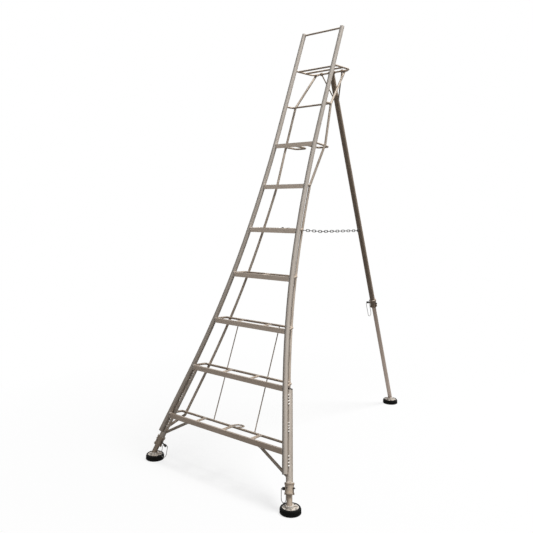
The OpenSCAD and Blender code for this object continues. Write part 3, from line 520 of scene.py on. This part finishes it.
def spot_tree(name, shape, smooth, sides=6):
    """One small shape on every point, its z along the point's aim and its x towards its side."""
    tree, start, end = new_tree(name, (("Spots", "Geometry"), ("Size", "Vector"),
                                       ("Metal", "Material")))
    made, join = tree.nodes.new, tree.links.new
    solid = made(shape)
    fixed = {"Vertices": sides, "Segments": 10, "Rings": 6, "Radius": 1.0, "Depth": 1.0}
    for label, value in fixed.items():
        if label in solid.inputs:
            solid.inputs[label].default_value = value
    turns = []
    for label, axis, pivot in (("aim", "Z", "AUTO"), ("side", "X", "Z")):
        vector = made("GeometryNodeInputNamedAttribute")
        vector.data_type = "FLOAT_VECTOR"
        vector.inputs["Name"].default_value = label
        turn = made("FunctionNodeAlignRotationToVector")
        turn.axis = axis
        turn.pivot_axis = pivot
        join(vector.outputs["Attribute"], turn.inputs["Vector"])
        turns.append(turn)
    place = made("GeometryNodeInstanceOnPoints")
    join(turns[0].outputs[0], turns[1].inputs["Rotation"])
    join(turns[1].outputs[0], place.inputs["Rotation"])
    join(start.outputs["Spots"], place.inputs["Points"])
    join(solid.outputs["Mesh"], place.inputs["Instance"])
    join(start.outputs["Size"], place.inputs["Scale"])
    finish_tree(tree, start, end, place.outputs[0], smooth)
    return tree


weld = weld_tree()
hexagon = spot_tree("hexagon_heads", "GeometryNodeMeshCylinder", False)
block = spot_tree("rubber_ribs", "GeometryNodeMeshCube", False)
dome = spot_tree("round_heads", "GeometryNodeMeshUVSphere", True)
plug = spot_tree("round_plugs", "GeometryNodeMeshCylinder", False, PLUG_SIDES)


def grown(name, verts, edges, tree, values, body, vectors=None):
    """Runs a tree over a mesh of points and edges, and keeps the result as a plain mesh."""
    seed_mesh = bpy.data.meshes.new(name + "_seed")
    seed_mesh.from_pydata([tuple(v) for v in verts], edges, [])
    for label, rows in (vectors or {}).items():
        kept = seed_mesh.attributes.new(label, "FLOAT_VECTOR", "POINT")
        for entry, row in zip(kept.data, rows):
            entry.vector = row
    seed = bpy.data.objects.new(name + "_seed", seed_mesh)
    bpy.context.scene.collection.objects.link(seed)
    mod = seed.modifiers.new("grow", "NODES")
    mod.node_group = tree
    for item in tree.interface.items_tree:
        if item.item_type == "SOCKET" and item.in_out == "INPUT" and item.name in values:
            mod[item.identifier] = values[item.name]
    deps = bpy.context.evaluated_depsgraph_get()
    mesh = bpy.data.meshes.new_from_object(seed.evaluated_get(deps), depsgraph=deps)
    mesh.name = name
    piece = bpy.data.objects.new(name, mesh)
    bpy.context.scene.collection.objects.link(piece)
    seed.modifiers.clear()
    bpy.data.objects.remove(seed)
    bpy.data.meshes.remove(seed_mesh)
    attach(piece, body)
    return piece


class Seams:
    """Collects weld lines as points and edges."""

    def __init__(self):
        self.verts, self.edges = [], []

    def line(self, points, closed=False):
        first = len(self.verts)
        self.verts += points
        count = len(points)
        self.edges += [(first + k, first + k + 1) for k in range(count - 1)]
        if closed:
            self.edges.append((first + count - 1, first))

    def pair(self, points, closed=False):
        """The same line on both sides of the ladder."""
        self.line(points, closed)
        self.line(mirrored(points), closed)

    def grow(self, name, body, slot, metal=weld_metal, radius=RIPPLE_R):
        values = {"Ripple radius": radius, "Ripple pitch": RIPPLE_PITCH,
                  "Ripple length": RIPPLE_L, "Metal": metal}
        grown(name, self.verts, self.edges, weld, values, body)


class Spots:
    """Collects places for small shapes, with the way that each one points."""

    def __init__(self):
        self.verts, self.aims, self.sides = [], [], []

    def add(self, point, aim, side):
        self.verts.append(point)
        self.aims.append(aim)
        self.sides.append(side)

    def grow(self, name, tree, size, metal, body, slot):
        grown(name, self.verts, [], tree, {"Size": size, "Metal": metal}, body,
              {"aim": self.aims, "side": self.sides})


def circle(steps):
    turns = [2 * math.pi * k / steps for k in range(steps)]
    return [(math.cos(turn), math.sin(turn)) for turn in turns]


def ring_lines(start, way, rod_r, steps):
    """Lines along the skin of a round bar, as start points, and the bar's direction."""
    way = way.normalized()
    side = way.orthogonal().normalized()
    other = way.cross(side)
    return [start + rod_r * (c * side + s * other) for c, s in circle(steps)], way


def saddle(start, way, rod_r, axis_at, axis_way, axis_r, steps=20):
    """Where a round bar that leaves a tube comes out of the tube."""
    lines, way = ring_lines(start, way, rod_r, steps)
    axis_way = axis_way.normalized()
    ring = []
    for p in lines:
        p = p - axis_at
        flat_p = p - p.dot(axis_way) * axis_way
        flat_w = way - way.dot(axis_way) * axis_way
        qa, qb = flat_w.dot(flat_w), 2 * flat_p.dot(flat_w)
        qc = flat_p.dot(flat_p) - axis_r * axis_r
        root = (-qb + math.sqrt(max(0.0, qb * qb - 4 * qa * qc))) / (2 * qa)
        ring.append(axis_at + p + root * way)
    return ring


def plane_ring(start, way, rod_r, at, normal, steps=20):
    """Where a round bar meets a flat face."""
    lines, way = ring_lines(start, way, rod_r, steps)
    return [p + way * ((at - p).dot(normal) / way.dot(normal)) for p in lines]


def cross_ring(at, first_way, first_r, other_way, other_r, steps=12):
    """Loop of weld around the touch of two crossing round bars; at lies on the first one's axis."""
    out = first_way.cross(other_way).normalized()
    if out.y < 0:
        out = -out
    reach = 0.85 * min(first_r, other_r) + 1.2 * MM
    ring = []
    for c, s in circle(steps):
        along, over = c * reach, s * reach
        sink = over * over / (2 * first_r)
        rise = along * along / (2 * other_r)
        ring.append(at + out * (first_r + (rise - sink) / 2) + first_way * along + other_way * over)
    return ring


def arm_of(z, depth, inward):
    """Start and direction of a bent bar's right-hand arm."""
    start = level_point(stile_x(z / COS_L), z, 0)
    return start, (level_point(start.x - inward, z, depth) - start).normalized()


def on_stile(z, depth, from_z):
    """A point on the right-hand stile's inner side, at a height, a depth behind its axis at from_z."""
    y = from_z * TAN_L + depth
    s, n = y * SIN_L + z * COS_L, y * COS_L - z * SIN_L
    reach = math.sqrt(max(0.0, STILE_R ** 2 - n ** 2)) / math.cos(stile_turn(s))
    return Vector((stile_x(s) - reach, y + SHIFT_Y, z))


def in_groove(swing, inward, t):
    """A point in the groove between the right-hand sleeve and its stile, at a place up the leg."""
    touch = math.atan2(SLEEVE_OUT, LEG_N)
    return leg_point(swing * math.cos(touch) - inward * math.sin(touch),
                     -swing * math.sin(touch) - inward * math.cos(touch), t)


def pin_grip(label, at, ways, tube_r):
    """Ribs along a pin's head; at lies on the tube's axis, level with the pin."""
    across, back, up = ways
    middle = at - across * (tube_r + COLLAR_WALL + RIM_OUT + PIN_STUBS[label])
    ribs = Spots()
    for c, s in circle(GRIP_RIBS):
        if abs(c) < GRIP_CLEAR:
            out = back * c + up * s
            ribs.add(middle + out * HEAD_R, out, across)
    ribs.grow("pin_grip_" + label, block, GRIP_RIB_SIZE, zinc, "lock_pin_" + label, "steel")


def collar_rivets(label, at, ways, tube_r, body):
    """A round head on the front and the back of a collar; at lies on its axis, at its foot."""
    back, up = ways[1:]
    rivets = Spots()
    for side in (-1, 1):
        out = back * side
        rivets.add(at + out * (tube_r + COLLAR_WALL) + up * COLLAR_L * RIVET_SHARE, out, up)
    rivets.grow("collar_rivets_" + label, dome, (RIVET_R, RIVET_R, RIVET_H), zinc, body, "steel")


ACROSS, UP = Vector((1, 0, 0)), Vector((0, 0, 1))
UP_LEAN = lean_point(0, 1, 0) - lean_point(0, 0, 0)
UNITS = ((1, 0, 0), (0, 1, 0), (0, 0, 1))
frame_seams = Seams()

# Front plates on the stiles: up the face and back along the top
for i in range(1, PLATED + 1):
    z = level_z(i)
    face = [on_stile(z + NOSE_H * (k / 8 - 0.5), -NOSE_AHEAD, z) for k in range(9)]
    top = [on_stile(z + NOSE_H / 2, -NOSE_AHEAD + TOP_LIP * k / 4, z) for k in range(1, 5)]
    frame_seams.pair(face + top)

# Bent bars on the stiles; the lowest one lies against the sleeves
for i in range(2, PLATED):
    start, way = arm_of(bar_z(i), TREAD_DEPTH, ARM_IN)
    frame_seams.pair(saddle(start, way, BAR_R, *stile_axis(bar_z(i) / COS_L), STILE_R), True)
start, way = arm_of(bar_z(1), TREAD_DEPTH, ARM_IN)
frame_seams.pair(saddle(start + way * (LEG_N / COS_L / way.y), way, BAR_R, *LEG_AXIS, SLEEVE_R), True)

# Standing tread: outer arms on the stiles, inner arms on the lip of its front plate
z = bar_z(PLATED)
start, way = arm_of(z, DEEP_DEPTH, DEEP_IN)
way = (way + Vector((0, 0, -DEEP_DROP / DEEP_DEPTH * way.y))).normalized()
frame_seams.pair(saddle(start, way, BAR_R, *stile_axis(z / COS_L), STILE_R), True)
inner_way = Vector((0, DEEP_DEPTH, -DEEP_DROP)).normalized()
inner = level_point(NOTCH_X, z, 0) + inner_way * (TOP_LIP - NOSE_AHEAD + LIP_GAP)
frame_seams.pair(plane_ring(inner, inner_way, BAR_R, inner, inner_way), True)

# Rung, platform hoop, cross bars and handrail
for z, depth, inward in ((bar_z(PLATED + 1), TREAD_DEPTH, RUNG_ARM_IN),
                         (level_z(PLATED + 2), PLATFORM_DEPTH, PLATFORM_ARM_IN)):
    start, way = arm_of(z, depth, inward)
    frame_seams.pair(saddle(start, way, BAR_R, *stile_axis(z / COS_L), STILE_R), True)
z = level_z(PLATED + 2)
start, way = arm_of(z, PLATFORM_DEPTH, PLATFORM_ARM_IN)
for depth in PLATFORM_BARS:
    at = level_point(TOP_HALF - PLATFORM_ARM_IN * depth / PLATFORM_DEPTH, z, depth)
    frame_seams.pair(saddle(at, -ACROSS, BAR_R, start, way, BAR_R), True)
z = level_z(PLATED + 3)
handrail_end = level_point(TOP_HALF, z, 0)
frame_seams.pair(saddle(handrail_end, -ACROSS, BAR_R, *stile_axis(z / COS_L), STILE_R), True)

# Straps where they meet the bent bars
for i, count in enumerate(STRAP_COUNTS, 1):
    rise = NOSE_H / 2 - NOSE_T - (NOSE_H / 2 - BAR_R)
    depth = TREAD_DEPTH - math.sqrt(BAR_R ** 2 - rise ** 2)
    for k in range(count):
        middle = (k - (count - 1) / 2) * STRAP_STEP
        at = level_point(middle, bar_z(i), depth) + UP * rise
        frame_seams.line([at - ACROSS * STRAP_W / 2, at + ACROSS * STRAP_W / 2])

# Rails and tie rods behind the bent bars
BAR_N = TREAD_DEPTH * COS_L
RAIL_N = BAR_N + BAR_R + RAIL_R + CLOSE
for i in range(1, PLATED):
    s = (bar_z(i) + BAR_N * SIN_L) / COS_L
    turn = stile_turn(s)
    along = lean_point(-math.sin(turn), math.cos(turn), 0) - lean_point(0, 0, 0)
    at = lean_point(stile_x(s) - RAIL_IN, s, BAR_N)
    frame_seams.pair(cross_ring(at, ACROSS, BAR_R, along, RAIL_R), True)
    if i <= TIED:
        at = lean_point(TIE_X, s, BAR_N)
        frame_seams.pair(cross_ring(at, ACROSS, BAR_R, UP_LEAN, TIE_R), True)
frame_seams.pair(cross_ring(level_point(TOP_HALF - RUNG_RAIL_IN, bar_z(PLATED + 1), TREAD_DEPTH),
                            ACROSS, BAR_R, UP_LEAN, RAIL_R), True)

# Rail feet and braces on the sleeves, braces under the lowest front plate
rail_low = (bar_z(1) + RAIL_N * SIN_L) / COS_L - RAIL_DROP
rail_knee = lean_point(stile_x(rail_low) - RAIL_IN, rail_low, RAIL_N)
rail_foot = lean_point(stile_x(STILE_FOOT) + SLEEVE_OUT, STILE_FOOT + 2 * RAIL_R, LEG_N)
frame_seams.pair(saddle(rail_foot, rail_knee - rail_foot, RAIL_R, *LEG_AXIS, SLEEVE_R), True)
brace_at = STILE_FOOT - BRACE_LOW
brace_low = lean_point(stile_x(brace_at) + SLEEVE_OUT, brace_at, LEG_N)
brace_way = lean_point(BRACE_X, level_s(1), 0) - brace_low
frame_seams.pair(saddle(brace_low, brace_way, BRACE_R, *LEG_AXIS, SLEEVE_R), True)
plate_under = level_point(0, level_z(1), 0) - UP * NOSE_H / 2
frame_seams.pair(plane_ring(brace_low, brace_way, BRACE_R, plate_under, UP), True)

# Catch on the lowest bar, chain eye on the fifth
at = level_point(CATCH_HALF, bar_z(1), TREAD_DEPTH)
catch_way = Vector((0, CATCH_DEPTH, -CATCH_DROP)).normalized()
frame_seams.pair(saddle(at, catch_way, CATCH_R, at, ACROSS, BAR_R), True)
eye_side = [level_point(EYE_HALF, bar_z(CHAINED) + BAR_R * k / 4,
                        TREAD_DEPTH + BAR_R * math.sqrt(1 - (k / 4) ** 2)) for k in range(-3, 2)]
frame_seams.pair(eye_side)

# Rings where the sleeves enter their collars
ring_r, collar_top = SLEEVE_R + MM, COLLAR_T + COLLAR_L
frame_seams.pair([leg_point(ring_r * c, ring_r * s, collar_top) for c, s in circle(24)], True)
frame_seams.grow("frame_welds", "frame", "frame_metal")

# Rear leg: stays, chain eye and collar
rear_seams = Seams()
top, low = rear_point(STAY_X, 0, 0), rear_point(0, 0, -STAY_DROP)
rear_up = rear_point(0, 0, 0) - rear_point(0, 0, -1)
rear_seams.pair(saddle(low, top - low, STAY_R, low, rear_up, REAR_R), True)
rear_seams.pair([rear_point(EYE_HALF, -REAR_R, -CHAIN_REACH + EYE_OUT * k / 4)
                 for k in range(-4, 5)])
ring_r, collar_top = REAR_R + MM, REAR_COLLAR_Z + COLLAR_L
rear_seams.line([rear_point(ring_r * c, ring_r * s, collar_top) for c, s in circle(26)], True)
rear_seams.grow("rear_leg_welds", "rear_leg", "frame_metal")

# Feet: weld around the leg's end, hexagon heads on the plate, ribs around the pad
PLATE_TOP = PAD_H - PAD_LIP + PLATE_T
front_foot = Vector((FOOT_X, SHIFT_Y + LEG_END_Y + FOOT_BACK, 0))
FEET = (("left", "front_leg_left", sided(front_foot, -1), FOOT_BACK, sided(LEG_AXIS[1], -1)),
        ("right", "front_leg_right", front_foot, FOOT_BACK, LEG_AXIS[1]),
        ("rear", "rear_leg_slide", REAR_FOOT, 0.0, rear_up))
for label, body, foot, hub_ahead, leg_way in FEET:
    seams, heads, ribs = Seams(), Spots(), Spots()
    hub = foot + Vector((0, -hub_ahead, FOOT_SEAT))
    seams.line(plane_ring(hub, leg_way, LEG_R + FOOT_WELD_OUT, hub, UP), True)
    seams.grow("foot_weld_" + label, body, "leg_metal")
    for c, s in circle(BOLTS):
        heads.add(foot + Vector((BOLT_RING * c, BOLT_RING * s, PLATE_TOP + BOLT_RISE)), UP, ACROSS)
    heads.grow("plate_bolts_" + label, hexagon, (BOLT_R, BOLT_R, BOLT_H), wire_steel, body, "steel")
    for c, s in circle(PAD_RIBS):
        out = Vector((c, s, 0))
        ribs.add(foot + out * (PAD_R - PAD_RIB_IN) + UP * PAD_RIB_MIDDLE, out, UP)
    ribs.grow("pad_ribs_" + label, block, PAD_RIB_SIZE, rubber, body, "rubber")

# Stitches between stile and sleeve: rows of coarse round drops in both grooves
stitches = Spots()
for low, high in STITCH_ROWS:
    for k in range(STITCH_DROPS):
        t = low + (high - low) * k / (STITCH_DROPS - 1)
        for swing in (-STITCH_SWING, STITCH_SWING):
            at = in_groove(swing, STITCH_IN, t)
            for drop in [at] + mirrored([at]):
                stitches.add(drop, UP, ACROSS)
stitches.grow("sleeve_stitches", dome, (STITCH_R, STITCH_R, STITCH_R), stitch_metal,
              "frame", "frame_metal")

# Painted shade: dark strips along both grooves between sleeve and stile, where the groove lies in
# shade; and a dark plug in the top of each sleeve
shade_strips, plugs = Seams(), Spots()
sleeve_ends = [end / math.cos(FOOT_TURN) for end in (STILE_FOOT + STILE_R, SLEEVE_TOP)]
for swing in (-SHADE_STRIP_SWING, SHADE_STRIP_SWING):
    shade_strips.pair([in_groove(swing, SHADE_STRIP_IN, t) for t in sleeve_ends])
shade_strips.grow("groove_shade_strips", "frame", "frame_metal", groove_shade_paint, SHADE_STRIP_R)
plug_at = leg_point(0, 0, sleeve_ends[1] + PLUG_H / 2)
for side in (-1, 1):
    plugs.add(sided(plug_at, side), sided(LEG_AXIS[1], side), UP)
plugs.grow("sleeve_plugs", plug, (SLEEVE_R, SLEEVE_R, PLUG_H), plug_plastic, "frame", "rubber")

# Ribbed grips on the pins' heads, and rivets on the collars
leg_ways = [leg_point(*unit) - LEG_AXIS[0] for unit in UNITS]
for label, side in (("left", -1), ("right", 1)):
    ways = [sided(way, side) for way in leg_ways]
    pin_grip(label, sided(leg_point(0, 0, COLLAR_T + PIN_RISE), side), ways, SLEEVE_R)
    collar_rivets(label, sided(leg_point(0, 0, COLLAR_T), side), ways, SLEEVE_R, "frame")
rear_ways = [rear_point(*unit) - HINGE for unit in UNITS]
pin_grip("rear", rear_point(0, 0, REAR_COLLAR_Z + PIN_RISE), rear_ways, REAR_R)
collar_rivets("rear", rear_point(0, 0, REAR_COLLAR_Z), rear_ways, REAR_R, "rear_leg")


# Floor, light and background
SKY_LOW, SKY_HIGH, TOP_LEVEL = 0.03, 0.15, 1.15
LAMP_PLACE, LAMP_TARGET, LAMP_SIZE = (4.8, 3.2, 15.9), (0, 0, 1), 6.0
FLOOR_R, FLOOR_SIDES = 60.0, 96
FADE_FROM, FADE_TO, NEAR_WHITE = 1.2, 2.8, 0.8
FLOOR_PALE, FLOOR_MATT = (0.9, 0.9, 0.9, 1), (0.06, 0.06, 0.06, 1)
WHITE = (1, 1, 1, 1)


def seen_rays(mat):
    """1 on the rays that show the background itself, in the picture, in metal or through glass."""
    paths = put(mat, "ShaderNodeLightPath").outputs
    seen = math_node(mat, "MAXIMUM", paths["Is Camera Ray"], paths["Is Glossy Ray"])
    return math_node(mat, "MAXIMUM", seen, paths["Is Transmission Ray"])


def pale_floor():
    """A pale floor that keeps soft shadows near the feet and fades to white far away."""
    mat = bpy.data.materials.new("pale_floor")
    mat.use_nodes = True
    mat.node_tree.nodes.clear()
    out = mat.node_tree.nodes.new("ShaderNodeOutputMaterial")
    away = put(mat, "ShaderNodeVectorMath", {0: object_place(mat)}, operation="LENGTH").outputs["Value"]
    fade = remap(mat, away, FADE_FROM, FADE_TO, NEAR_WHITE, 1.0)
    white = put(mat, "ShaderNodeEmission", {"Color": WHITE, "Strength": 1.0}).outputs[0]
    pale = put(mat, "ShaderNodeBsdfDiffuse", {"Color": FLOOR_PALE}).outputs[0]
    matt = put(mat, "ShaderNodeBsdfDiffuse", {"Color": FLOOR_MATT}).outputs[0]
    shown = put(mat, "ShaderNodeMixShader", {0: fade, 1: pale, 2: white}).outputs[0]
    both = put(mat, "ShaderNodeMixShader", {0: seen_rays(mat), 1: matt, 2: shown}).outputs[0]
    link(mat, both, out.inputs[0])
    return mat


def floor_disc():
    mesh = bpy.data.meshes.new("floor")
    ring = [(FLOOR_R * c, FLOOR_R * s, 0.0) for c, s in circle(FLOOR_SIDES)]
    mesh.from_pydata(ring, [], [tuple(range(FLOOR_SIDES))])
    disc = bpy.data.objects.new("floor", mesh)
    disc.data.materials.append(pale_floor())
    bpy.context.scene.collection.objects.link(disc)


def soft_lamp(name, place, target, size, level):
    """A round lamp that lights a white face at its target to the level."""
    lamp = bpy.data.lights.new(name, "AREA")
    lamp.shape = "DISK"
    lamp.size = size
    way = Vector(target) - Vector(place)
    lamp.energy = level * math.pi ** 2 * way.length_squared
    made = bpy.data.objects.new(name, lamp)
    made.location = place
    made.rotation_euler = way.to_track_quat("-Z", "Y").to_euler()
    bpy.context.scene.collection.objects.link(made)


def studio_world(low, high):
    """White where it is seen; on the object a soft light that comes mostly from above."""
    world = bpy.data.worlds.new("studio")
    world.use_nodes = True
    world.node_tree.nodes.clear()
    out = world.node_tree.nodes.new("ShaderNodeOutputWorld")
    way = put(world, "ShaderNodeTexCoord").outputs["Generated"]
    height = put(world, "ShaderNodeSeparateXYZ", {0: way}).outputs[2]
    sky = remap(world, height, -0.1, 0.7, low, high)
    level = put(world, "ShaderNodeMapRange", {0: seen_rays(world), 3: sky, 4: 1.0}).outputs[0]
    back = put(world, "ShaderNodeBackground", {"Color": WHITE, "Strength": level})
    link(world, back.outputs[0], out.inputs[0])
    bpy.context.scene.world = world


floor_disc()
studio_world(SKY_LOW, SKY_HIGH)
soft_lamp("top_lamp", LAMP_PLACE, LAMP_TARGET, LAMP_SIZE, TOP_LEVEL)
